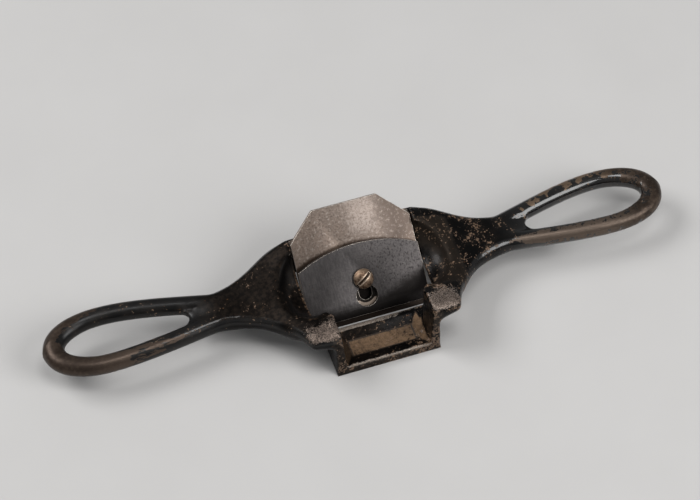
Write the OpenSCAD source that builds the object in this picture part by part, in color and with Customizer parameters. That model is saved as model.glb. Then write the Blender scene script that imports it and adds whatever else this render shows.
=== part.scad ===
// Rabbet spokeshave: a cast stock with two open loop handles, a full-width cutter,
// a cap iron with a keyhole, and one slotted screw that clamps them to the bed.
// Millimetres. X runs along the handles, -Y is the front (the toe), Z is up from the sole.
// The origin is on the sole plane, at the middle of the tool's footprint.

/* [Overall] */
// Length over both handles
length = 266.7; // [230:0.1:300]
// Angle of the bed, and so of the cutter, above the sole
bed_angle = 45; // [42:0.5:48]

/* [Cutter] */
// Width of the cutter, edge to edge
cutter_w = 51.2; // [46:0.1:56]
// Length of the cutter from its cutting edge to its top
cutter_l = 49.3; // [44:0.1:56]
// Thickness of the cutter
cutter_t = 2.4; // [2:0.1:3.2]
// Width taken off each clipped top corner
clip_w = 11.8; // [6:0.1:16]
// Height taken off each clipped top corner
clip_h = 11.5; // [6:0.1:16]
// Angle ground on the back of the cutting edge
bevel_angle = 28; // [22:1:32]
// Height of the cutting edge above the sole when it is drawn in
edge_lift = 0.05; // [0:0.01:0.5]
// How far the cutter can be drawn back from rest
slot_up = 6.6; // [4:0.1:8]
// How far the cutter can be advanced from rest
slot_down = 2.4; // [1:0.1:6]

/* [Cap iron] */
// Thickness of the cap iron
cap_t = 2.4; // [1.8:0.1:3]
// Height up the bed from the cutting edge to the cap iron's lower edge
cap_low = 2.2; // [1:0.1:4]
// Length over which the cap iron's upper face bends down to its lower edge
nose_l = 6; // [3:0.1:7]
// Thickness left at the cap iron's lower edge
nose_t = 0.7; // [0.4:0.1:1.2]
// Height up the bed from the cutting edge to the cap iron's top corners
cap_corner = 26.1; // [23:0.1:29]
// Rise of the cap iron's arched top above its corners
cap_crown = 6; // [3:0.1:8]
// Travel from clamped to where the head passes the round end
cap_travel = 7.2; // [6:0.1:8]

/* [Cap screw] */
// Height of the screw up the bed from the cutting edge
screw_v = 17.3; // [16:0.1:19]
// Diameter of the screw's shank
screw_d = 4.6; // [4:0.1:4.8]
// Diameter of the screw's round head
head_d = 8.3; // [7.5:0.1:8.6]
// Height of the head
head_h = 3; // [2.4:0.1:3.6]
// Height of the head's straight rim
rim_h = 1; // [0.6:0.1:1.4]
// Width of the screwdriver slot
drive_w = 1.2; // [0.9:0.05:1.5]
// Depth of the screwdriver slot
drive_d = 1.3; // [0.8:0.1:1.6]
// Angle at which the screwdriver slot came to rest
drive_angle = 34; // [0:1:180]
// Depth to which the screw's end reaches below the cutter
screw_reach = 7.4; // [6:0.1:8]

/* [Toe] */
// Distance that the toe reaches in front of the cutting edge
toe_reach = 23.1; // [20:0.1:27]
// How far the cutter stands out past each side of the toe and heel
reveal = 3.3; // [1:0.1:4]
// Thickness of the two cheeks beside the tray
cheek_t = 4.4; // [3:0.1:5.5]
// Height of the toe's low front wall
wall_h = 4.4; // [3.6:0.1:5.4]
// Distance from the toe's front to where the throat begins to widen
flare_start = 8.6; // [6:0.1:11]
// Distance in front of the cutting edge where the throat reaches its full width
flare_end = 3.8; // [2:0.1:5]
// Height of the tray's floor above the sole
tray_z = 2.8; // [2:0.1:3.2]
// Width of the slopes at the tray's two ends
slope_side = 3.4; // [2:0.1:5]
// Width of the tray's front slope
slope_front = 4.2; // [3:0.1:5]
// Width of the tray's back slope
slope_back = 5.5; // [4:0.1:6.5]
// Depth of the sunk panel
panel_deep = 0.5; // [0.2:0.1:0.8]
// Thickness of the low front wall at its top
rim_t = 0.8; // [0.6:0.1:1.2]
// Opening of the mouth at the sole, in front of the cutting edge
mouth = 1.8; // [1:0.1:2.6]
// How far the mouth's front side leans forward as it rises
mouth_lean = 1.1; // [0.6:0.1:1.4]

/* [Shoulders] */
// Height of the shoulders' worn tops above the sole
shoulder_top = 24.4; // [22:0.1:27]
// Height of the shoulders' undersides where they leave the toe
shoulder_under = 16.2; // [15:0.1:19]
// Further rise of the undersides at the shoulders' outer ends
shoulder_rise = 2.2; // [0:0.1:4]
// How far each shoulder reaches out past the side of the cutter
shoulder_out = 5.8; // [4:0.1:7]

/* [Wings] */
// Height of the wings' front edges where they meet the necks
wing_top = 17; // [15.5:0.1:18.5]
// Height of the flat part of the wings' undersides
wing_under = 11.4; // [10:0.1:13]
// Height of the wings' back edges beside the cutter
back_top = 28; // [25:0.1:30]
// Thickness of the wings at their back edges
back_t = 9; // [7:0.1:11]
// Distance from the cutting edge to the wings' back edges
bridge_y = 31; // [29:0.1:34]
// Sag of the wings' tops between the shoulders and the back edges
sag = 2.5; // [0:0.1:4]
// Radius of the broad rounding along the wings' and shoulders' front edges
edge_r = 3.3; // [1:0.1:3.6]
// Radius of the rounding along the wings' lower front edges
under_r = 2.2; // [1:0.1:2.6]
// Radius of the rounding along the wings' back edges
back_r = 3.4; // [2:0.1:3.8]
// Space between the cutter's side and the wing beside it
side_gap = 0.7; // [0.3:0.1:1.2]
// Reach of the hollowed scoop out from the cutter's slot, at its axis
scoop_x = 10.4; // [7:0.1:11]
// Half the length of the scoop, at its axis
scoop_y = 16.2; // [12:0.1:17]
// Distance from the cutting edge back to the scoop's middle
scoop_mid = 7; // [5:0.1:9]
// Height of the scoop's axis above the sole
scoop_z = 25; // [23:0.1:27]

/* [Heel] */
// Distance from the cutting edge to the back of the heel's sole
heel_y = 26; // [23:0.1:29]
// Thickness of the bed and of the heel's other walls
heel_wall = 4.4; // [3.6:0.1:5]
// Half the width of the rib behind the bed that takes the screw
boss_r = 5; // [4.4:0.1:6]

/* [Handles] */
// Length of each loop, from where its rails part to the middle of its end
loop_l = 72.7; // [66:0.1:80]
// Width of each loop, measured between the middles of its rails
loop_w = 23.7; // [20:0.1:27]
// Width of the rails, seen from above
bar_w = 7.8; // [6.5:0.1:9]
// Height of the rails
bar_h = 8.2; // [6.5:0.1:9]
// Width of the bar at the loop's end
tip_w = 9.3; // [8:0.1:10.5]
// Height of the middle of the loops above the sole
loop_z = 12.6; // [11:0.1:14]
// Distance from the cutting edge back to the loops' middle line
loop_y = 16.4; // [14:0.1:18]
// How far the necks' middle lies in front of the loops' middle line
neck_shift = 2.1; // [0:0.1:3]
// Width of the neck between wing and loop
neck_w = 17; // [15:0.1:19]
// How far inside the neck's sides the rails' outer sides start
rail_inset = 0.9; // [0:0.1:1.6]
// Distance from the middle of the loop's end back to where the loop is widest
wide_in = 20.8; // [17:0.1:24]
// Length of the web from where the rails part to the inside of the crotch
crotch_l = 16.4; // [12:0.1:20]
// Radius of the crotch, where the opening of the loop begins
crotch_r = 2.5; // [1.5:0.1:2.8]

/* [Fits] */
// Extra width of the cutter's slot over the screw's shank
slot_play = 0.7; // [0.4:0.05:1.2]
// Extra width of the cap iron's slot over the screw's shank
cap_play = 0.4; // [0.2:0.05:0.8]
// Space left all round the screw's head in the round end of the keyhole
key_play = 0.35; // [0.2:0.05:0.6]
// Gap that lets the cutter, cap iron and screw move on each other
slide_gap = 0.05; // [0.02:0.01:0.1]

/* [Hidden] */
$fn = 48;
far = 100;                       // longer than anything that is cut

japan = [0.07, 0.065, 0.06];
steel = [0.62, 0.58, 0.54];
blued = [0.28, 0.29, 0.32];
bronze = [0.55, 0.38, 0.24];

cutter_back = cutter_l * cos(bed_angle) + cutter_t * sin(bed_angle);
edge_y = (toe_reach - cutter_back) / 2;   // puts the middle of the whole tool over the origin

slot_w = screw_d + slot_play;
cap_slot_w = screw_d + cap_play;
key_r = head_d / 2 + key_play;
toe_half = cutter_w / 2 - reveal;
tray_half = toe_half - cheek_t;
slot_half = cutter_w / 2 + side_gap;
shoulder_x = cutter_w / 2 + shoulder_out;
shoulder_y = -toe_reach + 1.4;   // the front face leans back as it rises
rim_back = wall_h - 0.4;         // the tray's back rim is a little lower than its front wall
bed_n = -cutter_t - slide_gap;   // the bed, measured square to the cutter's face
cap_n = slide_gap;               // the cap iron's underside
seat_n = cap_n + cap_t + slide_gap;

tip_x = length / 2 - tip_w / 2;
part_x = tip_x - loop_l;         // where the rails part from the neck
crotch_x = part_x + crotch_l;

loop_sides = 14;
rail_steps = 11;
end_steps = 8;
wing_steps = 15;

function mix(a, b, t) = a + (b - a) * t;
function clamp01(t) = min(1, max(0, t));
function ease(t) = let (c = clamp01(t)) c * c * (3 - 2 * c);
function bezier(p, t) = let (s = 1 - t)
    s * s * s * p[0] + 3 * s * s * t * p[1] + 3 * s * t * t * p[2] + t * t * t * p[3];
function turn(v) = [-v[1], v[0]] / norm(v);

// Joins rings of equal length into one closed skin. Each end is closed by rungs between the
// points on either side of the place halfway round from the ring's end, counted by "mid".
function end_rungs(base, sides, mid) = [for (m = [0 : sides / 2 - 2])
    [base + (mid + sides - m) % sides, base + (mid + sides - m - 1) % sides,
     base + (mid + m + 2) % sides, base + (mid + m + 1) % sides]];
function flip(faces) = [for (f = faces) [for (i = [len(f) - 1 : -1 : 0]) f[i]]];
function skin_faces(rings, sides, mid) = concat(
    flip(end_rungs(0, sides, mid)),
    [for (i = [0 : rings - 2]) for (j = [0 : sides - 1]) let (k = (j + 1) % sides)
        each [[i * sides + j, (i + 1) * sides + k, i * sides + k],
              [i * sides + j, (i + 1) * sides + j, (i + 1) * sides + k]]],
    end_rungs((rings - 1) * sides, sides, mid));

// Puts what is drawn from the cutting edge into the tool's own frame
module from_edge() translate([0, edge_y, 0]) children();

// Turns a shape drawn flat, X along the edge, Y up the bed, Z off the cutter's face, on to the bed
module on_bed() translate([0, 0, edge_lift]) rotate([bed_angle, 0, 0]) children();

// A side view, drawn as [y, z], made solid between two places along X
module across(x0, x1) translate([x0, 0, 0]) rotate([90, 0, 90]) linear_extrude(x1 - x0) children();

module both_sides() { children(); mirror([1, 0, 0]) children(); }

// The handles: each loop is a bar swept once round a drop-shaped path
rail_y = [loop_y - loop_w / 2, loop_y + loop_w / 2];
neck_y = loop_y - neck_shift;
root_half = (neck_w - bar_w) / 2 - rail_inset;
root_y = [neck_y - root_half, neck_y + root_half];
wide_x = tip_x - wide_in;
function rail(side) = [
    [part_x, root_y[side]],
    [part_x + 16, mix(root_y[side], rail_y[side], 0.36)],
    [wide_x - 16, rail_y[side]],
    [wide_x, rail_y[side]]
];
function loop_end(side) = [
    [wide_x, rail_y[side]],
    [wide_x + 11, rail_y[side]],
    [tip_x, mix(loop_y, rail_y[side], 0.6)],
    [tip_x, loop_y]
];
loop_path = concat(
    [for (i = [0 : rail_steps - 1]) bezier(rail(0), i / rail_steps)],
    [for (i = [0 : end_steps - 1]) bezier(loop_end(0), i / end_steps)],
    [for (i = [0 : end_steps - 1]) bezier(loop_end(1), 1 - i / end_steps)],
    [for (i = [0 : rail_steps]) bezier(rail(1), 1 - i / rail_steps)]
);
function bar_half(x) = mix(bar_w, tip_w, ease((x - wide_x) / (tip_x - wide_x))) / 2;
function bar_ring(i) = let (
    p = loop_path[i],
    n = turn(loop_path[min(i + 1, len(loop_path) - 1)] - loop_path[max(i - 1, 0)]))
    [for (j = [0 : loop_sides - 1]) let (a = 360 * j / loop_sides, w = bar_half(p[0]) * cos(a))
        [p[0] + n[0] * w, p[1] + n[1] * w, loop_z + bar_h / 2 * sin(a)]];

module loop_bar() polyhedron(
    points = [for (i = [0 : len(loop_path) - 1]) each bar_ring(i)],
    faces = skin_faces(len(loop_path), loop_sides, 0));

// The wings: each is one skin of sections that fan out from the shoulder to the neck.
// A section stands on a line in plan from the wing's front edge to its back edge.
function wing_front(t) = bezier([
    [shoulder_x - 0.1, shoulder_y + 0.9],
    [shoulder_x + 2.8, mix(shoulder_y, neck_y - neck_w / 2, 0.444)],
    [mix(slot_half, part_x, 0.64), neck_y - neck_w / 2],
    [part_x + 8, neck_y - neck_w / 2 + 0.1]], t);
function wing_back(t) = bezier([
    [shoulder_x - 0.3, bridge_y],
    [mix(slot_half, part_x, 0.5), bridge_y],
    [mix(slot_half, part_x, 0.62), neck_y + neck_w / 2],
    [part_x + 8, neck_y + neck_w / 2]], t);
inner_x = [toe_half - 1.6, toe_half + 1.2, slot_half + 0.5, shoulder_x - 2.4, shoulder_x - 0.7];
// Past the neck the skin sinks between the rails, with its edges inside them
function on_rail(side, x, lo = 0, hi = 1, n = 16) = let (m = (lo + hi) / 2)
    n == 0 ? bezier(rail(side), m)[1]
    : bezier(rail(side), m)[0] < x ? on_rail(side, x, m, hi, n - 1) : on_rail(side, x, lo, m, n - 1);
function sunk(x) = ease((x - part_x - 3) / (crotch_l - 5));
web_x = [for (x = [part_x + 10 : 2 : crotch_x + 2.4]) x];
wing_lines = concat(
    [for (x = inner_x) [[x, shoulder_y + 0.06 * (x - toe_half)], [x, bridge_y]]],
    [for (i = [0 : wing_steps]) let (t = i / wing_steps) [wing_front(t), wing_back(t)]],
    [for (x = web_x) let (e = (1 - ease((x - part_x - 6) / 8)) * (bar_w / 2 - 0.3))
        [[x, on_rail(0, x) - e], [x, on_rail(1, x) + e]]]);

// Heights along the two edges, and across the wing from front (0) to back (1)
function swell(x, reach, lift, power) = lift * pow(clamp01((reach - x) / (reach - slot_half)), power);
function front_top(x) = min(shoulder_top, wing_top + swell(x, part_x - 6, shoulder_top - wing_top + 3, 2))
    - 2.4 * sunk(x);
function rear_top(x) = wing_top + swell(x, part_x + 6, back_top - wing_top, 1.5) - 2.4 * sunk(x);
function flat_under(x) = mix(loop_z - bar_h / 2 + 0.3, wing_under, ease((part_x + 4 - x) / 22)) + 2 * sunk(x);
function front_under(p) = p[0] < shoulder_x - 0.4
    ? shoulder_under + shoulder_rise * (p[0] - toe_half) / (shoulder_x - toe_half)
    : mix(flat_under(p[0]), shoulder_under + shoulder_rise, ease((-7 - p[1]) / 12));
function top_z(line, t) = mix(front_top(line[0][0]), rear_top(line[1][0]), ease(t))
    - sag * sin(180 * clamp01(t * 1.1)) * ease((part_x - 12 - line[0][0]) / 16);
function under_z(line, t) = let (flat = flat_under(line[0][0]))
    flat + (front_under(line[0]) - flat) * (1 - ease(t / 0.3))
         + max(0, rear_top(line[1][0]) - back_t - flat) * ease((t - 0.45) / 0.55);

function wing_ring(line) = let (
    len = norm(line[1] - line[0]), dir = (line[1] - line[0]) / len,
    room = (top_z(line, 0) - under_z(line, 0)) / 2,
    r = min(edge_r, room - 0.1), low = min(under_r, room - 0.1), back = min(back_r, back_t / 2 - 0.6),
    at = function(d, z) [line[0][0] + dir[0] * d, line[0][1] + dir[1] * d, z])
    concat(
        [for (a = [-80 : 35 : -10])
            at(len - back + back * cos(a), under_z(line, 1 - back / len) + back + back * sin(a))],
        [for (a = [10 : 35 : 80])
            at(len - back + back * cos(a), top_z(line, 1 - back / len) - back + back * sin(a))],
        [for (i = [7 : -1 : 1]) let (d = mix(r, len - back, i / 8)) at(d, top_z(line, d / len))],
        [for (a = [100 : 32 : 164]) at(r + r * cos(a), top_z(line, r / len) - r + r * sin(a))],
        [for (a = [200 : 30 : 260]) at(low + low * cos(a), under_z(line, low / len) + low + low * sin(a))],
        [for (i = [1 : 7]) let (d = mix(low, len - back, i / 8)) at(d, under_z(line, d / len))]);

module wing() polyhedron(
    points = [for (line = wing_lines) each wing_ring(line)],
    faces = skin_faces(len(wing_lines), len(wing_ring(wing_lines[0])), 2));

// A hollow with a round floor that leaves a D-shaped edge on the wing
module scoop() {
    arc_r = (scoop_x * scoop_x + scoop_y * scoop_y) / (2 * scoop_x);
    translate([slot_half, scoop_mid, scoop_z]) rotate([90, 0, 0]) rotate_extrude($fn = 96) intersection() {
        translate([scoop_x - arc_r, 0]) circle(r = arc_r, $fn = 180);
        translate([0, -far]) square([far, 2 * far]);
    }
}

// The toe: a sole plate with a low rim all round a four-sided tray
module toe_plate() across(-toe_half, toe_half) polygon([
    [-toe_reach, 0], [-mouth, 0], [-mouth - mouth_lean, rim_back], [-mouth - mouth_lean - 0.4, rim_back],
    [-toe_reach + rim_t + 0.1, wall_h], [-toe_reach + rim_t / 2, wall_h]
]);

module tray() {
    x1 = tray_half; y2 = -toe_reach + rim_t; y3 = -mouth - mouth_lean - 0.3; up = wall_h + 0.2;
    x0 = x1 - slope_side; y0 = y2 + slope_front; y1 = y3 - slope_back;
    polyhedron(
        points = [
            [-x0, y0, tray_z], [x0, y0, tray_z], [x0, y1, tray_z], [-x0, y1, tray_z],
            [-x1, y2, up], [x1, y2, up], [x1, y3, up], [-x1, y3, up]],
        faces = [[0, 1, 2, 3], [7, 6, 5, 4], [0, 4, 5, 1], [1, 5, 6, 2], [2, 6, 7, 3], [3, 7, 4, 0]]);
    translate([-x0 + 0.6, y0 + 0.6, tray_z - panel_deep])
        cube([2 * x0 - 1.2, y1 - y0 - 1.2, panel_deep + 0.5]);
}

// A cheek's side view, from the sole up into the shoulder
module cheek_side() polygon([
    [-toe_reach, 0], [-mouth, 0], [-mouth - mouth_lean, rim_back], [-mouth - mouth_lean, wing_under + 2],
    [-flare_end, shoulder_top - 3], [-flare_end - 8, shoulder_top],
    [shoulder_y + edge_r, shoulder_top], [shoulder_y + edge_r * 0.3, shoulder_top - edge_r * 0.3],
    [shoulder_y, shoulder_top - edge_r]
]);

module cheek() across(tray_half - 1, toe_half) cheek_side();

// The heel: a bed plate that rises from the sole, closed at its sides and at a rib under the screw
bed_foot = -bed_n / sin(bed_angle);  // where the bed would meet the sole
module heel() across(-toe_half, toe_half) polygon([
    [bed_foot - 1, 0], [heel_y, 0], [heel_y + 1.6, 1.6], [bridge_y - 0.8, back_top - back_t + 1],
    [bridge_y, back_top - back_t + 4], [bridge_y, back_top - 3.4], [bridge_y - 1, back_top - 1.2],
    [bridge_y - 3, back_top], [bed_foot - 1, back_top]
]);

module heel_pocket() {
    lead = bed_foot + heel_wall / sin(bed_angle);
    roof = back_top - back_t;
    across(boss_r, toe_half - heel_wall) polygon([
        [lead + heel_wall / tan(bed_angle), heel_wall],
        [far, heel_wall], [far, roof],
        [lead + roof / tan(bed_angle), roof]
    ]);
}

// The shoulders' inner corners, rounded in plan from the tray's side out to the slot's side
flare_r = slot_half - tray_half;
flare = [for (a = [0 : 10 : 90]) [slot_half - flare_r * cos(a),
    mix(flare_start - toe_reach, -flare_end, sin(a))]];

// Everything above the bed between the wings, open in front over the tray
module throat() {
    intersection() {
        translate([0, 0, wall_h]) linear_extrude(far) polygon(concat(
            [for (p = flare) p], [[slot_half, far], [-slot_half, far]],
            [for (i = [len(flare) - 1 : -1 : 0]) [-flare[i][0], flare[i][1]]]));
        on_bed() translate([-far, -far, bed_n]) cube([2 * far, 2 * far, far]);
    }
    // the tray's sides lean out as they rise
    translate([0, -10, 0]) rotate([90, 0, 0]) linear_extrude(far) polygon([
        [-tray_half, wall_h], [tray_half, wall_h], [tray_half + 0.07 * far, wall_h + far],
        [-tray_half - 0.07 * far, wall_h + far]]);
}

// The mouth: clears the cutter and cap iron below the top of the toe's rim
module mouth_cut() intersection() {
    on_bed() translate([-far, -far, bed_n]) cube([2 * far, 2 * far, far]);
    across(-far, far) polygon([
        [-mouth + mouth_lean / rim_back, -1], [-mouth, 0], [-mouth - mouth_lean, rim_back],
        [-mouth - mouth_lean - 0.1, wall_h + 1],
        [far, wall_h + 1], [far, -1]]);
}

// Rounds the web's end, where the opening of the loop begins between its rails
module crotch() {
    x = crotch_x + crotch_r;
    translate([x, (on_rail(0, x) + on_rail(1, x)) / 2, 0]) cylinder(r = crotch_r, h = far);
}

module screw_hole() on_bed() translate([0, screw_v, bed_n - screw_reach - 1])
    cylinder(r = screw_d / 2 + slide_gap, h = screw_reach + 3);

module stock() color(japan) from_edge() difference() {
    union() {
        toe_plate();
        heel();
        both_sides() { cheek(); wing(); loop_bar(); }
    }
    throat();
    mouth_cut();
    tray();
    both_sides() { scoop(); heel_pocket(); crotch(); }
    screw_hole();
}

// A slot with round ends, from one place up the bed to another
module slot(v0, v1, w) translate([0, 0, -far / 2]) {
    translate([0, v0, 0]) cylinder(d = w, h = far);
    translate([0, v1, 0]) cylinder(d = w, h = far);
    translate([-w / 2, v0, 0]) cube([w, v1 - v0, far]);
}

module cutter() color(steel) from_edge() on_bed() difference() {
    intersection() {
        translate([0, 0, -far / 2]) linear_extrude(far) polygon([
            [-cutter_w / 2, 0], [cutter_w / 2, 0], [cutter_w / 2, cutter_l - clip_h],
            [cutter_w / 2 - clip_w, cutter_l], [-cutter_w / 2 + clip_w, cutter_l],
            [-cutter_w / 2, cutter_l - clip_h]
        ]);
        across(-far, far) polygon([
            [0, 0], [cutter_l, 0], [cutter_l, -cutter_t], [cutter_t / tan(bevel_angle), -cutter_t]
        ]);
    }
    slot(screw_v - slot_up, screw_v + slot_down, slot_w);
}

module cap_iron() color(blued) from_edge() on_bed() {
    crown_r = (cutter_w * cutter_w / 4 + cap_crown * cap_crown) / (2 * cap_crown);
    difference() {
        intersection() {
            translate([-cutter_w / 2, cap_low, cap_n])
                cube([cutter_w, cap_corner + cap_crown - cap_low, cap_t]);
            translate([0, cap_corner + cap_crown - crown_r, -far / 2])
                cylinder(r = crown_r, h = far, $fn = 180);
            across(-far, far) polygon(concat([[cap_low, cap_n], [far, cap_n], [far, cap_n + cap_t]],
                [for (a = [0 : 15 : 90]) [cap_low + nose_l * (1 - sin(a)),
                                          cap_n + nose_t + (cap_t - nose_t) * cos(a)]]));
        }
        slot(screw_v - cap_travel, screw_v + cap_play / 4, cap_slot_w);
        translate([0, screw_v - cap_travel, -far / 2]) cylinder(r = key_r, h = far);
    }
}

module cap_screw() color(bronze) from_edge() on_bed() translate([0, screw_v, 0]) {
    dome_h = head_h - rim_h;
    dome_r = (head_d * head_d / 4 + dome_h * dome_h) / (2 * dome_h);
    difference() {
        union() {
            translate([0, 0, bed_n - screw_reach])
                cylinder(d = screw_d, h = screw_reach - bed_n + seat_n + rim_h / 2);
            intersection() {
                translate([0, 0, seat_n]) cylinder(d = head_d, h = head_h);
                translate([0, 0, seat_n + head_h - dome_r]) sphere(r = dome_r, $fn = 96);
            }
        }
        rotate(drive_angle) translate([-far / 2, -drive_w / 2, seat_n + head_h - drive_d])
            cube([far, drive_w, far]);
    }
}

stock();
cutter();
cap_iron();
cap_screw();
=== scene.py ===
"""A rabbet spokeshave on a pale bench: cast stock with two loop handles, cutter, cap iron, screw."""

import math
from functools import reduce

import bmesh
import bpy
from mathutils import Matrix, Vector


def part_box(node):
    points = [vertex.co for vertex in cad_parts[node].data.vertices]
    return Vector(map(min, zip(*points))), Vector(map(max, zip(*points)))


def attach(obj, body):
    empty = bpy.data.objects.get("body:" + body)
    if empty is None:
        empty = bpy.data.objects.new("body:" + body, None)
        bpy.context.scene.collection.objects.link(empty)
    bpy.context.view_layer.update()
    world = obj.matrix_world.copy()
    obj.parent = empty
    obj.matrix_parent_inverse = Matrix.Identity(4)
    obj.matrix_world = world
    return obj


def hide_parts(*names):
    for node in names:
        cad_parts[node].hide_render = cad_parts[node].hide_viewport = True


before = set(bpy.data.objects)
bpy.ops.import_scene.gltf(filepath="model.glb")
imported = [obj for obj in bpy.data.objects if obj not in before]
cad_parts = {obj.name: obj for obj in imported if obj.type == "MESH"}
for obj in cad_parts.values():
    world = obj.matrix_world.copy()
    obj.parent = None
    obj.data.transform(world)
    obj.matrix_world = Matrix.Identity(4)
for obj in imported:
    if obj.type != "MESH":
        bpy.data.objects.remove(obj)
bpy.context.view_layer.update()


# The viewpoint
# A long lens, one metre away, looks down at 53 degrees on the face of the cutter, from a
# little to the left of the tool. Its place is measured from the middle of the cutting edge.
cutting_edge = Vector((0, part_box("cutter")[0].y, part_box("cutter")[0].z))
looked_at = cutting_edge + Vector((-0.00117, 0.02389, 0.01689))
swing, climb, roll = math.radians(-17.15), math.radians(53), math.radians(-1.5)
distance = 1.0
lens = bpy.data.cameras.new("viewpoint")
lens.lens, lens.sensor_width = 125.5, 36
viewpoint = bpy.data.objects.new("viewpoint", lens)
viewpoint.matrix_world = (
    Matrix.Translation(looked_at)
    @ Matrix.Rotation(swing, 4, "Z")
    @ Matrix.Rotation(math.pi / 2 - climb, 4, "X")
    @ Matrix.Rotation(roll, 4, "Z")
    @ Matrix.Translation((0, 0, distance))
)
bpy.context.scene.collection.objects.link(viewpoint)
bpy.context.scene.camera = viewpoint


# The stock
# One iron casting: toe with its tray, bed, two wings and two loop handles. It was dipped in
# black japan and baked; hands have since worn the handles and shoulders back to brown iron.
# Only the sole and the bed under the cutter were ground flat.
class Spread:
    """A number, colour or direction that varies over a piece; sums on it add Math nodes."""

    def __init__(self, tree, socket=None):
        self.tree, self.socket = tree, socket

    def node(self, kind, settings=None, *values, pick=None, **named):
        """Adds any other node: its settings, then its sockets in order or by name."""
        made = self.tree.nodes.new(kind)
        for setting, value in (settings or {}).items():
            setattr(made, setting, value)
        open_sockets = [s for s in made.inputs if s.enabled]
        by_name = {s.name.replace(" ", "_"): s for s in open_sockets}
        pairs = list(zip(open_sockets, values)) + [(by_name[n], v) for n, v in named.items()]
        for socket, value in pairs:
            if isinstance(value, Spread):
                self.tree.links.new(value.socket, socket)
            elif value is not None:
                socket.default_value = value
        outputs = [s for s in made.outputs if s.enabled]
        chosen = next((s for s in outputs if s.name == pick), outputs[0]) if outputs else None
        return Spread(self.tree, chosen)

    def maths(self, operation, a, b=None):
        return self.node("ShaderNodeMath", {"operation": operation}, a, b)

    def __add__(self, other):
        return self.maths("ADD", self, other)

    def __sub__(self, other):
        return self.maths("SUBTRACT", self, other)

    def __rsub__(self, other):
        return self.maths("SUBTRACT", other, self)

    def __mul__(self, other):
        return self.maths("MULTIPLY", self, other)

    def __abs__(self):
        return self.maths("ABSOLUTE", self)

    __radd__, __rmul__ = __add__, __mul__


def vectors(operation, first, *others, pick=None, **named):
    """Vector maths on a place or a direction."""
    return first.node("ShaderNodeVectorMath", {"operation": operation}, first, *others, pick=pick, **named)


def part(place, axis):
    """One of the three numbers of a place or a direction."""
    return place.node("ShaderNodeSeparateXYZ", None, place, pick=axis)


def rise(value, low, high):
    """0 below low, 1 above high, with a smooth slope between them."""
    return value.node("ShaderNodeMapRange", {"interpolation_type": "SMOOTHSTEP"}, value, low, high)


def fall(value, low, high):
    """1 below low, 0 above high, with a smooth slope between them."""
    return 1 - rise(value, low, high)


def within(value, low, high, soft):
    """1 between low and high, fading to 0 over a soft edge on either side."""
    return rise(value, low - soft, low) * fall(value, high, high + soft)


def more(*masks):
    """The largest of some masks at each place."""
    return reduce(lambda a, b: a.maths("MAXIMUM", a, b), masks)


def cloud(place, size, start=0, detail=4, rough=0.55, stretch=(1, 1, 1)):
    """Drifting patches about as wide as size, in millimetres, from 0 to 1."""
    drift = (start * 7.3, start * 3.1, 0)
    moved = place.node("ShaderNodeMapping", None, Vector=place, Location=drift, Scale=stretch)
    return place.node(
        "ShaderNodeTexNoise", None, Vector=moved, Scale=1 / size, Detail=detail, Roughness=rough
    )


def lay(under, over, mask):
    """One colour laid over another where the mask is 1."""
    under, over = (c if isinstance(c, Spread) else (*c, 1) for c in (under, over))
    return mask.node("ShaderNodeMix", {"data_type": "RGBA"}, mask, under, over)


def paint(base, *coats):
    """Coats laid over a base in turn, each a colour and where it shows."""
    for colour, where in coats:
        base = lay(base, colour, where)
    return base


def blend(low, high, mask):
    """A plain number that goes from low to high with the mask."""
    return mask * (high - low) + low


def new_finish(name, colour):
    """An empty finish: its shader, and the place on the piece in millimetres."""
    finish = bpy.data.materials.new(name)
    finish.use_nodes = True
    finish.diffuse_color = (*colour, 1)
    tree = finish.node_tree
    shader = next(n for n in tree.nodes if n.type == "BSDF_PRINCIPLED")
    spot = Spread(tree).node("ShaderNodeTexCoord", None, pick="Object")
    return finish, shader, vectors("SCALE", spot, Scale=1000.0)


def connect(shader, name, value):
    value.tree.links.new(value.socket, shader.inputs[name])


def relief(height, depth, strength):
    """Turns a height into a bump of that depth in millimetres."""
    return height.node("ShaderNodeBump", None, Strength=strength, Distance=depth / 1000, Height=height)


edge_mm = tuple(cutting_edge * 1000)
loop_line = 16.4                 # how far the loops' middle line is behind the cutting edge
loop_end = 108                   # how far out their round ends are centred
bed_out = (0, -0.7071, 0.7071)   # the way the bed faces

japan, japan_shader, at = new_finish("worn black japan", (0.03, 0.03, 0.03))
x, z = part(at, "X"), part(at, "Z")
behind = part(at, "Y") - edge_mm[1]
facing = at.node("ShaderNodeTexCoord", None, pick="Normal")
face_x, face_y, face_z = part(facing, "X"), part(facing, "Y"), part(facing, "Z")
ridge = at.node("ShaderNodeAttribute", {"attribute_name": "ridge"}, pick="Fac")
out_x = abs(x)
right = rise(x, -4, 4)


def plot(half, near, far, soft):
    """1 up to half to each side of the middle, from near to far behind the cutting edge."""
    return fall(out_x, half, half + soft) * within(behind, near, far, soft)


patches = cloud(at, size=7, start=3, detail=3)
flakes = cloud(at, size=1.6, start=8, detail=6, rough=0.62)
specks = cloud(at, size=0.7, start=5, rough=0.6)
streaks = cloud(at, size=2.0, start=15, detail=5, rough=0.6, stretch=(0.2, 1, 1))
islands = cloud(at, size=3.2, start=21)
fine = cloud(at, size=0.32, start=44, detail=3, rough=0.6)
small_nicks = cloud(at, size=2.2, start=52, detail=5, rough=0.6)
rust_spots = cloud(at, size=1.4, start=31, detail=3)
iron_grain = cloud(at, size=1.3, start=11, detail=5)
sand_marks = cloud(at, size=0.35, start=41, detail=2)
rolled = rise(ridge, 0.04, 0.14)
sharp = rise(ridge, 0.15, 0.32)

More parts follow.
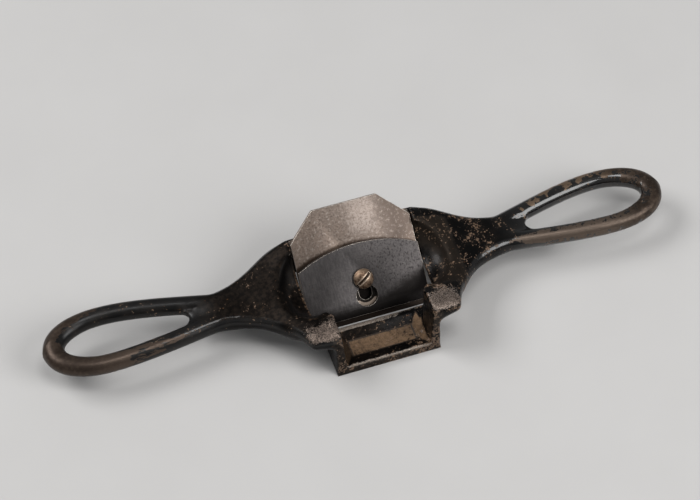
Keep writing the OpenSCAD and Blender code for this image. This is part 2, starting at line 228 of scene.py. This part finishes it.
# how far a place on a handle faces away from the middle of its loop, and where on it it lies
outward = at.node(
    "ShaderNodeCombineXYZ", None, more(out_x - loop_end, 0.0) * x.maths("SIGN", x), behind - loop_line, 0.0
)
away = vectors("DOT_PRODUCT", vectors("NORMALIZE", outward), facing, pick="Value")
front = fall(behind, loop_line - 4, loop_line + 4)
tip = rise(out_x, 102, 122)
on_handle = rise(out_x, 54, 74)
neck = rise(out_x, 46, 58)

# The hands' wear on the handles: it follows the pull, thins out towards the necks (taper), keeps
# japan in the fork (web), on the lower left rail, below and in small nicks, and comes off in
# islands on the right.
pull = front * (face_z * 0.7 + away * 0.9 - 0.12) + (1 - front) * (face_z * 0.15 + away * 0.95 - 0.62)
web = rise(behind + out_x * 0.17, 21.6, 23.4) * front * fall(out_x, 82, 94)
crown = face_z * 0.85 - face_y * 0.5   # facing up and to the front
taper = fall(out_x + crown * 28 + right * 9, 90, 112) * 1.6
lower_left = within(x, -99, -40, soft=2) * front * (1.15 - face_z) * blend(0.5, 1.8, rise(x, -84, -73))
streaky_left = within(x, -99, -80, soft=3) * front * (0.585 - streaks) * 5.0
outer_right = right * (1 - front) * ((islands - 0.5) * 4.6 + 0.34) + right * front * (flakes - 0.5) * 1.6
underneath = rise(0.45 - face_z, 0.0, 0.4) * (0.34 + right * 0.10)
nicks = rise(small_nicks, 0.545, 0.575) * right * more(front, tip) * rise(out_x, 66, 72)
nicks = nicks * (rise(0.55 - face_z, 0.0, 0.5) + rise(0.35 - away, 0.0, 0.5))
gripped = (
    pull + tip * 0.8 + (patches - 0.5) * 0.7 + (streaks - 0.5) * 2.4 + (flakes - 0.5)
    - taper - lower_left - streaky_left + outer_right - underneath - web * 1.5 - nicks * 2.2
)
handle_wear = rise(gripped, -0.012, 0.02)

# the ground-down shoulders, and chips that gather on edges and on the right wing
shoulder = (
    within(out_x, 20, 30, soft=7) * fall(behind, -17, -5) * rise(z, 16, 24)
    * rise(face_z, 0.15, 0.95)
)
shoulder_wear = rise(
    shoulder * (0.75 + right * 0.05) + (patches - 0.5) * 0.8 + (flakes - 0.5) * 1.2 + (fine - 0.5) * 1.5,
    0.46, 0.62,
)
scoop = within(out_x, 24, 38, soft=5) * within(behind, -6, 22, soft=6) * rise(z, 13, 19)
toe_front = rise(0 - face_y, 0.5, 0.85) * fall(behind, -19, -17) * fall(out_x, 22, 24)
density = (
    right * 0.070 - 0.030 + rolled * 0.030 + sharp * 0.05 + (patches - 0.5) * 0.42
    - neck * right * 0.055 + toe_front * 0.045 - scoop * 0.025
)
chips = rise(flakes * 0.6 + specks * 0.4 + density, 0.600, 0.622)

# the tray: its floor and ends hold ochre dust, its rims are rubbed bright
tray = plot(half=18, near=-22.4, far=-3.1, soft=0.4) * fall(z, 4.5, 4.9)
panel = plot(half=13.7, near=-17.3, far=-9.5, soft=0.25) * fall(z, 3.0, 3.3)
panel_groove_shade = panel * (1 - plot(half=13.1, near=-16.8, far=-10.0, soft=0.2))
tray_floor = panel * rise(flakes + patches * 0.6 + specks * 0.3, 0.72, 0.88)
tray_ends = tray * rise(abs(face_x), 0.2, 0.4)
rims = fall(out_x, 20, 21) * rise(z, 3.2, 3.7) * fall(z, 4.6, 5.4) * fall(behind, -2, 0)
back_rim = within(behind, -4.9, -2.6, soft=0.3) * rise(face_z, 0.3, 0.8)
back_rim = back_rim * (1 - rise(x, -6, 18) * 0.8)
front_rim = within(behind, -23.6, -22.5, soft=0.3) * rise(face_z, 0.2, 0.7)
crest = rims * rise(
    ridge + back_rim * 0.26 + front_rim * 0.14 + (flakes - 0.5) * 0.35 + (fine - 0.5) * 0.35, 0.17, 0.25
)
dust = rise(
    scoop * (0.25 + right * 0.75) + tray_ends * 0.9 + (patches - 0.5) * 0.7 + (flakes - 0.5) * 0.5,
    0.35, 1.05,
)

# the left throat edge that the cutter rubs, and the two faces that were ground flat
rub_line = within(x, -28.6, -25.6, soft=0.5) * rolled * within(behind, -9, 16, soft=5)
sole = rise(0 - face_z, 0.9, 0.98) * fall(z, 0.1, 0.4)
bed = rise(vectors("DOT_PRODUCT", facing, bed_out, pick="Value"), 0.96, 0.99)
bed = bed * plot(half=27, near=-3, far=35, soft=1)
ground = more(sole, bed)

# colours: the left wing is smoother and browner than the rest of the japan
left_wing = (1 - right) * fall(out_x, 60, 74) * rise(face_z, 0.72, 0.90) * 0.9
left_black = lay((0.0045, 0.0034, 0.0028), (0.014, 0.010, 0.0075), rise(flakes, 0.4, 0.62))
black = lay((0.0040, 0.0036, 0.0036), (0.0105, 0.0082, 0.0066), rise(patches, 0.35, 0.7))
black = lay(black, left_black, left_wing)
dusty = (0.030, 0.023, 0.018)
tan = lay((0.060, 0.037, 0.024), (0.21, 0.132, 0.083), rise(specks, 0.40, 0.68))
rust = (0.16, 0.075, 0.032)
iron = lay((0.052, 0.036, 0.027), (0.100, 0.072, 0.053), rise(iron_grain, 0.36, 0.70))
iron_dark = rise(patches * 0.6 + streaks * 0.4, 0.46, 0.60) * (0.35 + tip * 0.45)
iron = lay(iron, (0.028, 0.019, 0.014), iron_dark)
iron = paint(
    lay((0.042, 0.029, 0.022), iron, right * 0.5 + 0.5),
    ((0.105, 0.076, 0.058), (1 - right) * front * (1 - tip) * 0.5),
    ((0.200, 0.138, 0.092), right * (1 - front) * (1 - tip) * 0.75),
    ((0.140, 0.106, 0.083), right * front * (1 - tip) * 0.65),
)
bare = lay((0.042, 0.031, 0.025), (0.30, 0.235, 0.195), rise(specks * 0.4 + fine * 0.6, 0.42, 0.60))
bare = lay(bare, (0.36, 0.30, 0.26), right * rise(fine, 0.5, 0.6) * 0.6)
ochre = lay((0.062, 0.036, 0.019), (0.150, 0.090, 0.048), rise(flakes * 0.5 + fine * 0.5, 0.38, 0.6))
rubbed_rim = lay((0.16, 0.125, 0.10), (0.36, 0.31, 0.265), rise(fine, 0.38, 0.62))
ground_iron = lay((0.12, 0.10, 0.085), (0.26, 0.23, 0.20), flakes)
slot_shadow = (0.008, 0.006, 0.005)
coat = paint(
    black,
    (dusty, more(dust * 0.9, toe_front * rise(flakes, 0.34, 0.5))),
    (rust, rise(rust_spots, 0.70, 0.74) * (1 - tip) * 0.6),
    (ochre, more(tray_floor, tray_ends * (0.3 + right * 0.35))),
    (black, panel_groove_shade * 0.85),   # painted shade: a black line round the edge of the tray's floor
    (tan, more(chips, rub_line * rise(flakes, 0.40, 0.52))),
    (iron, handle_wear),
    (bare, shoulder_wear),
    (rubbed_rim, crest),
    (ground_iron, ground),
    (slot_shadow, bed * fall(out_x, 4, 5)),   # the bed that the cutter's slot shows
)
connect(japan_shader, "Base Color", coat)

# the japan is dull in its hollows, below and on the wings, and shines on the right handle
worn = more(handle_wear, shoulder_wear, chips, ground, crest, tray_floor)
under_side = rise(0.35 - face_z, 0, 0.3) * (1 - on_handle)
mouth = within(behind, -3.8, 1, soft=0.3) * fall(out_x, 24, 25) * fall(z, 5, 6)
rim_band = within(out_x, 44, 84, soft=5) * within(face_y, -0.85, -0.32, soft=0.10) * rise(face_z, 0.5, 0.7)
rim_band = rim_band * fall(behind + out_x * 0.12, loop_line + 1, loop_line + 4)
right_wing = right * fall(out_x, 64, 78) * (1 - rim_band) * 0.6
matte = more(left_wing, right_wing, under_side * 0.85, scoop * 0.9, tray * 0.8, mouth * 0.9)
metal = more(handle_wear * 0.6, shoulder_wear * 0.8, more(ground, crest) * 0.85)
connect(japan_shader, "Metallic", more(metal, matte * (1 - worn)))
dull = (
    blend(0.17, 0.28, rise(patches, 0.35, 0.7)) + dust * 0.3 + toe_front * 0.2
    + (matte - right_wing * 0.8) * 0.3 + (1 - right) * on_handle * 0.13
)
dull = dull * (1 - worn) + worn * (specks * 0.3 + 0.30 + tray_floor * 0.25 - on_handle * 0.08)
connect(japan_shader, "Roughness", dull)
polished = more(on_handle * (1 - handle_wear) * right, rim_band * 0.6 * (1 - worn))
connect(japan_shader, "Coat Weight", polished)
japan_shader.inputs["Coat Roughness"].default_value = 0.10
japan_shader.inputs["Specular IOR Level"].default_value = 0.32

# the coat's thickness, and sand marks that hands have smoothed on the handles
unsmoothed = 1 - on_handle * 0.95
thickness = (
    (1 - more(handle_wear, shoulder_wear)) * 0.8
    + (1 - chips) * 0.7
    + fine * shoulder * 1.1
    + specks * (1 - on_handle) * 0.5
    + flakes * unsmoothed * 0.4
    + sand_marks * unsmoothed * 0.35
)
connect(japan_shader, "Normal", relief(thickness, depth=0.09, strength=0.9))


def copy_of(node, name):
    """A copy of a CAD piece with its loose triangles joined up."""
    piece = bpy.data.objects.new(name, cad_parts[node].data.copy())
    piece.data.materials.clear()
    bpy.context.scene.collection.objects.link(piece)
    mesh = bmesh.new()
    mesh.from_mesh(piece.data)
    bmesh.ops.remove_doubles(mesh, verts=mesh.verts, dist=1e-6)
    mesh.to_mesh(piece.data)
    mesh.free()
    return piece


def settle(piece):
    """Turns what a piece's modifiers make into its plain mesh."""
    seen = piece.evaluated_get(bpy.context.evaluated_depsgraph_get())
    mesh = bpy.data.meshes.new_from_object(seen)
    piece.modifiers.clear()
    old, piece.data = piece.data, mesh
    bpy.data.meshes.remove(old)


stock = copy_of("stock", "stock_casting")
sand = stock.modifiers.new("moulding sand", "REMESH")
sand.mode, sand.voxel_size = "VOXEL", 0.00056

# The casting skin, in metres: it breaks the edges, marks the ridges for the wear, lets the
# wings and handles flow, and leaves the bed, the sole and the throat's walls in their places.
skin_tree = bpy.data.node_groups.new("casting skin", "GeometryNodeTree")
stock_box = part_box("stock")
skin_inputs = {
    "Edge passes": ("NodeSocketInt", 3),            # smoothing of every edge
    "Soft passes": ("NodeSocketInt", 20),           # more of it on the wings and handles
    "Fill": ("NodeSocketFloat", 0.00010),           # what that smoothing takes off
    "Soft from": ("NodeSocketFloat", 0.0225),       # how far out it starts
    "Soft band": ("NodeSocketFloat", 0.002),        # and how gently
    "Wall to": ("NodeSocketFloat", 0.0274),         # within this the throat's walls are held
    "Wall from": ("NodeSocketFloat", -0.0045),      # from here back, from the cutting edge
    "Wall in": ("NodeSocketFloat", 0.0003),         # how far they are moved in
    "Relief": ("NodeSocketFloat", 0.00022),         # height of the sand's lumps
    "Relief size": ("NodeSocketFloat", 0.0035),     # width of the lumps
    "Ridge passes": ("NodeSocketInt", 6),           # smoothing that a ridge stands out from
    "Sole height": ("NodeSocketFloat", 0.0004),     # all below is the ground sole
    "Bed foot": ("NodeSocketVector", tuple(cutting_edge)),
    "Bed depth": ("NodeSocketFloat", 0.00245),      # from the cutter's face down to the bed
    "Bed reach": ("NodeSocketFloat", 0.0003),       # how close to it counts as the bed
    "Low corner": ("NodeSocketVector", tuple(stock_box[0])),
    "High corner": ("NodeSocketVector", tuple(stock_box[1])),
    "Finish": ("NodeSocketMaterial", japan),
}
skin_tree.interface.new_socket("Geometry", in_out="INPUT", socket_type="NodeSocketGeometry")
for name, (kind, value) in skin_inputs.items():
    skin_tree.interface.new_socket(name, in_out="INPUT", socket_type=kind)
skin_tree.interface.new_socket("Geometry", in_out="OUTPUT", socket_type="NodeSocketGeometry")
group_input = skin_tree.nodes.new("NodeGroupInput")
given = {s.name: Spread(skin_tree, s) for s in group_input.outputs}
start = given["Geometry"]
spot = start.node("GeometryNodeInputPosition")
normal = start.node("GeometryNodeInputNormal")


def smoothed(passes, weight=None):
    """Where the points lie after some passes of smoothing."""
    return start.node(
        "GeometryNodeBlurAttribute", {"data_type": "FLOAT_VECTOR"},
        Value=spot, Iterations=passes, Weight=weight,
    )


def moved_to(points, place):
    return start.node("GeometryNodeSetPosition", None, Geometry=points, Position=place)


from_edge = vectors("SUBTRACT", spot, given["Bed foot"])
off_bed = vectors("DOT_PRODUCT", from_edge, bed_out, pick="Value")
on_bed = 1 - start.maths("GREATER_THAN", abs(off_bed + given["Bed depth"]), given["Bed reach"])
on_sole = start.maths("LESS_THAN", part(spot, "Z"), given["Sole height"])
cast = 1 - more(on_bed, on_sole)
broken = moved_to(start, smoothed(given["Edge passes"], cast))
stands_out = vectors("SUBTRACT", spot, smoothed(given["Ridge passes"]))
stands_out = vectors("DOT_PRODUCT", stands_out, normal, pick="Value") * 1000
marked = start.node(
    "GeometryNodeStoreNamedAttribute", {"data_type": "FLOAT", "domain": "POINT"},
    Geometry=broken, Name="ridge", Value=stands_out,
)
sideways = abs(part(spot, "X"))
throat_wall = (
    start.maths("LESS_THAN", sideways, given["Wall to"])
    * start.maths("GREATER_THAN", part(from_edge, "Y"), given["Wall from"])
)
loose = rise(sideways, given["Soft from"] - given["Soft band"], given["Soft from"] + given["Soft band"])
loose = loose * (1 - throat_wall)
flowed = moved_to(marked, smoothed(given["Soft passes"], cast * loose))
lumps = start.node(
    "ShaderNodeTexNoise", None, Vector=vectors("DIVIDE", spot, given["Relief size"]),
    Scale=1.0, Detail=3.0, Roughness=0.5,
)
inward = start.maths("GREATER_THAN", abs(part(normal, "X")), 0.8)
# the sand's lumps are fainter on the handles, which hands have smoothed
even = blend(1.0, 0.3, rise(sideways * 1000, 54, 70))
lift = (
    (lumps - 0.5) * given["Relief"] * even + throat_wall * inward * given["Wall in"]
    + loose * given["Fill"]
)
lifted = vectors("ADD", spot, vectors("SCALE", normal, Scale=lift * cast))
kept_in = vectors("MINIMUM", vectors("MAXIMUM", lifted, given["Low corner"]), given["High corner"])
smooth = start.node("GeometryNodeSetShadeSmooth", None, moved_to(flowed, kept_in))
whole = start.node("GeometryNodeRealizeInstances", None, smooth)
done = start.node("GeometryNodeSetMaterial", None, Geometry=whole, Material=given["Finish"])
start.node("NodeGroupOutput", None, done)

casting_skin = stock.modifiers.new("casting skin", "NODES")
casting_skin.node_group = skin_tree
for item in skin_tree.interface.items_tree:
    if item.in_out == "INPUT" and item.name in skin_inputs:
        casting_skin[item.identifier] = skin_inputs[item.name][1]
settle(stock)
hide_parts("stock")
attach(stock, "stock")


# The cutter
# A plate of tool steel a little wider than the sole, clipped at its top corners, ground on the
# back of its edge. It is bare and mottled warm grey, rubbed bright at its edges, and carries
# painted light and shade on its face.
def on_bed_place(place):
    """The place measured up the bed: X along the edge, Y up the slope, Z off the cutter's face."""
    return place.node(
        "ShaderNodeMapping", {"vector_type": "TEXTURE"}, Vector=place,
        Location=edge_mm, Rotation=(math.radians(45), 0, 0),
    )


def finish_piece(piece, face_finish, edge_finish, edge_width):
    """Gives a piece its finish, breaks its sharp edges, and gives those the edge finish."""
    piece.data.materials.append(face_finish)
    piece.data.materials.append(edge_finish)
    mesh = bmesh.new()
    mesh.from_mesh(piece.data)
    bmesh.ops.dissolve_limit(
        mesh, angle_limit=math.radians(0.5), verts=mesh.verts, edges=mesh.edges,
        use_dissolve_boundaries=False,
    )
    mesh.to_mesh(piece.data)
    mesh.free()
    bevel = piece.modifiers.new("broken edges", "BEVEL")
    bevel.width, bevel.segments, bevel.limit_method = edge_width, 2, "ANGLE"
    bevel.angle_limit = math.radians(30)
    bevel.material = 1
    bevel.harden_normals = True
    piece.data.shade_smooth()
    settle(piece)


cutter = copy_of("cutter", "cutter_plate")
steel, steel_shader, at = new_finish("mottled cutter steel", (0.4, 0.37, 0.33))
up = on_bed_place(at)
across, slope = part(up, "X"), part(up, "Y")


def distance_from(height):
    """The distance from a point that high on the plate's middle line."""
    off = across.node("ShaderNodeCombineXYZ", None, across, slope - height, 0.0)
    return vectors("LENGTH", off, pick="Value")


mottle = cloud(up, size=6, start=2, rough=0.6)
speckle = cloud(up, size=0.9, start=6, detail=5, rough=0.65)
grain = cloud(up, size=0.35, start=16, detail=2, rough=0.5)
light_fleck = rise(cloud(up, size=1.3, start=27, detail=5, rough=0.68), 0.53, 0.64)
stain = rise(cloud(up, size=1.0, start=14, detail=5, rough=0.65), 0.56, 0.66)

# the cap iron on the plate: its arched top's centre and radius, and its keyhole's round end
arch_centre, arch_radius, keyhole = -25.5, 57.6, 10.9
from_arch = distance_from(arch_centre) - arch_radius
from_key = distance_from(keyhole)
under_cap = fall(from_arch, -3, -2)
arch_shade_and_grime = fall(from_arch + (speckle - 0.5) + (mottle - 0.5) * 1.5 + across * 0.035, 0.1, 1.5)
toward_light = rise(across * 0.02 + slope * 0.012 + (mottle - 0.5) * 1.2, -0.1, 1.0)
light_band = within(across + (mottle - 0.5) * 8, 3, 8, soft=5) * rise(from_arch, 1, 7)
dimmed = rise(across + (mottle - 0.5) * 10, 8, 20)
in_shadow = (0.010, 0.008, 0.006)

grey = paint(
    lay((0.36, 0.280, 0.230), (0.33, 0.270, 0.232), toward_light),
    ((0.12, 0.090, 0.074), dimmed * 0.85),   # the right side turns from the light
    ((0.60, 0.50, 0.44), light_band * 0.7),   # a band beside the middle catches it
)
grey = lay((0.12, 0.088, 0.068), grey, rise(speckle * 0.6 + grain * 0.4, 0.32, 0.56) * 0.75 + 0.25)
grey = paint(
    grey,
    ((0.62, 0.53, 0.465), light_fleck * (0.55 - dimmed * 0.28)),
    ((0.15, 0.105, 0.080), stain * 0.6),
    ((0.050, 0.031, 0.020), arch_shade_and_grime * 0.92),   # painted shade and grime along the cap iron's arch
    ((0.035, 0.025, 0.019), fall(slope, 2.2, 3.2)),   # painted shade on the edge, down in the mouth
    (in_shadow, under_cap * rise(slope, 8.2, 8.6)),
    (in_shadow, under_cap * rise(slope, 4, 5) * fall(from_key, 3.8, 4.1)),
    # painted light: the crescent of steel that the keyhole shows
    ((0.40, 0.32, 0.26), under_cap * rise(from_key, 3.9, 4.2) * within(slope, 5.0, 8.2, soft=0.3)),
)
connect(steel_shader, "Base Color", grey)
connect(steel_shader, "Roughness", blend(0.40, 0.58, rise(speckle, 0.35, 0.7)))
connect(steel_shader, "Normal", relief(speckle * 0.7 + grain * 0.3, depth=0.04, strength=0.8))
steel_shader.inputs["Metallic"].default_value = 0.8

rubbed, rubbed_shader, at = new_finish("rubbed steel edge", (0.6, 0.55, 0.5))
spots = cloud(at, size=1.2, start=4)
connect(rubbed_shader, "Base Color", lay((0.28, 0.23, 0.19), (0.62, 0.56, 0.50), rise(spots, 0.36, 0.56)))
connect(rubbed_shader, "Roughness", blend(0.25, 0.42, spots))
rubbed_shader.inputs["Metallic"].default_value = 0.9

finish_piece(cutter, steel, rubbed, edge_width=0.00016)
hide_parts("cutter")
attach(cutter, "cutter")


# The cap iron
# A plate of darker steel with an arched top, a keyhole for the screw, and a lower edge bent
# down to press on the cutter. Its face was ground along its length; the right half is pitted.
cap = copy_of("cap_iron", "cap_plate")
cap_steel, cap_shader, at = new_finish("dark cap steel", (0.12, 0.12, 0.13))
up = on_bed_place(at)
across, slope = part(up, "X"), part(up, "Y")
strokes = cloud(up, size=1.0, start=3, detail=5, rough=0.66, stretch=(1.5, 0.3, 1))
mottle = cloud(up, size=6, start=9, rough=0.6)
speckle = cloud(up, size=0.7, start=12, rough=0.6)
pits = rise(cloud(up, size=0.8, start=17, detail=3, stretch=(1, 0.62, 1)), 0.54, 0.62)
pits = pits * rise(across + (mottle - 0.5) * 18, 0, 8) * rise(slope, 9, 15)
light_fleck = rise(cloud(up, size=0.9, start=37, rough=0.6), 0.56, 0.66)
brown_fleck = rise(cloud(up, size=1.1, start=23, detail=3), 0.66, 0.74)
mirrored_shoulder_shade = fall(slope - more(across, 0.0) * 0.34 + (mottle - 0.5) * 5, 4.0, 9.5)
side = rise(abs(across), 25.35, 25.5)
upper_right = rise(across + slope * 0.6 + (mottle - 0.5) * 16, 8, 26)
# the cap's colour, with painted light and painted shade laid on it
blued_and_shaded = paint(
    lay((0.062, 0.057, 0.056), (0.108, 0.098, 0.096), rise(mottle * 0.35 + strokes * 0.65, 0.34, 0.66)),
    # painted light: lighter towards the upper right
    ((0.135, 0.122, 0.119), upper_right * 0.75),
    ((0.055, 0.050, 0.051), rise(speckle, 0.46, 0.66) * 0.45),
    ((0.190, 0.173, 0.167), light_fleck * 0.4 * rise(across, -12, 14)),
    ((0.024, 0.021, 0.021), pits * 0.7),
    ((0.14, 0.10, 0.075), brown_fleck * 0.5),
    ((0.012, 0.0095, 0.0085), mirrored_shoulder_shade * 0.93),   # painted shade, low on the plate and higher to the right, where it mirrors the dark shoulder
    ((0.060, 0.040, 0.027), side),   # rust on the narrow sides
)
connect(cap_shader, "Base Color", blued_and_shaded)
connect(cap_shader, "Metallic", 0.8 - side * 0.6)
connect(cap_shader, "Roughness", blend(0.50, 0.62, rise(speckle, 0.35, 0.7)))
connect(cap_shader, "Normal", relief(strokes * 0.15 + speckle * 0.2 - pits * 0.6, depth=0.03, strength=0.7))

finish_piece(cap, cap_steel, rubbed, edge_width=0.00018)
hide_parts("cap_iron")
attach(cap, "cap_iron")


# The cap screw
# A turned bronze screw with a low domed head and one driver slot, brown with age and rubbed
# bright at the slot's lips.
screw = copy_of("cap_screw", "screw_turned")
bronze, bronze_shader, at = new_finish("brown bronze", (0.35, 0.22, 0.13))
up = on_bed_place(at)
across, slope, off_face = part(up, "X"), part(up, "Y"), part(up, "Z")
screw_up = 17.3                  # the screw's place up the slope
slot_turn = math.radians(34)     # how its driver slot came to rest
off_slot = abs((slope - screw_up) * math.cos(slot_turn) - across * math.sin(slot_turn))
turned = cloud(up, size=0.5, start=5, rough=0.6)
tarnish = rise(cloud(up, size=1.8, start=8, rough=0.6), 0.42, 0.62)
brown = paint(
    lay((0.30, 0.205, 0.140), (0.10, 0.060, 0.038), tarnish),
    ((0.55, 0.43, 0.33), within(off_slot, 0.6, 1.0, soft=0.12) * rise(off_face, 4.2, 4.5) * 0.9),   # lips
    ((0.030, 0.019, 0.012), fall(off_slot, 0.50, 0.60)),   # painted shade in the driver slot
    ((0.014, 0.011, 0.009), fall(off_face, 2.6, 3.1)),   # painted shade on the shank, down in the cap's keyhole
)
connect(bronze_shader, "Base Color", brown)
connect(bronze_shader, "Roughness", blend(0.30, 0.55, turned))
connect(bronze_shader, "Normal", relief(turned, depth=0.03, strength=0.7))
bronze_shader.inputs["Metallic"].default_value = 0.85

lips, lips_shader, at = new_finish("bright slot lips", (0.6, 0.45, 0.3))
spots = cloud(at, size=0.8, start=4)
connect(lips_shader, "Base Color", lay((0.32, 0.22, 0.15), (0.66, 0.53, 0.42), rise(spots, 0.36, 0.56)))
lips_shader.inputs["Metallic"].default_value = 0.45
lips_shader.inputs["Roughness"].default_value = 0.3

finish_piece(screw, bronze, lips, edge_width=0.00022)
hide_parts("cap_screw")
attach(screw, "cap_screw")


# The bench and the light
# A pale matt sheet, a broad lamp over the back left, a small one overhead, and a second broad one
# at the front right, which the polished rails mirror as a long streak.
half = 1.5                       # metres from the middle of the bench to its edge
outline = [(-half, -half, 0), (half, -half, 0), (half, half, 0), (-half, half, 0)]
sheet = bpy.data.meshes.new("bench")
sheet.from_pydata(outline, [], [(0, 1, 2, 3)])
bench = bpy.data.objects.new("bench", sheet)
bpy.context.scene.collection.objects.link(bench)
pale, pale_shader, at = new_finish("pale bench", (0.7, 0.69, 0.67))
shades = cloud(at, size=60, start=2, detail=3)
connect(pale_shader, "Base Color", lay((0.54, 0.53, 0.52), (0.59, 0.58, 0.57), shades))
pale_shader.inputs["Roughness"].default_value = 0.75
sheet.materials.append(pale)

for name, place, size, watts in (
    ("back lamp", (-0.85, 0.60, 1.10), (0.9, 0.7), 12.0),
    ("top lamp", (0.10, -0.22, 1.38), (0.50, 0.50), 4.6),
    ("side lamp", (0.80, -0.72, 0.82), (0.70, 0.80), 9.8),
):
    lamp = bpy.data.lights.new(name, "AREA")
    lamp.shape, lamp.size, lamp.size_y, lamp.energy = "RECTANGLE", *size, watts
    holder = bpy.data.objects.new(name, lamp)
    turn = (Vector(place) - looked_at).to_track_quat("Z", "Y")
    holder.matrix_world = Matrix.Translation(place) @ turn.to_matrix().to_4x4()
    bpy.context.scene.collection.objects.link(holder)

sky = bpy.data.worlds.new("room")
sky.use_nodes = True
sky.node_tree.nodes["Background"].inputs["Color"].default_value = (0.96, 0.98, 1.0, 1)
sky.node_tree.nodes["Background"].inputs["Strength"].default_value = 0.22
bpy.context.scene.world = sky
bpy.context.scene.view_settings.view_transform = "Standard"
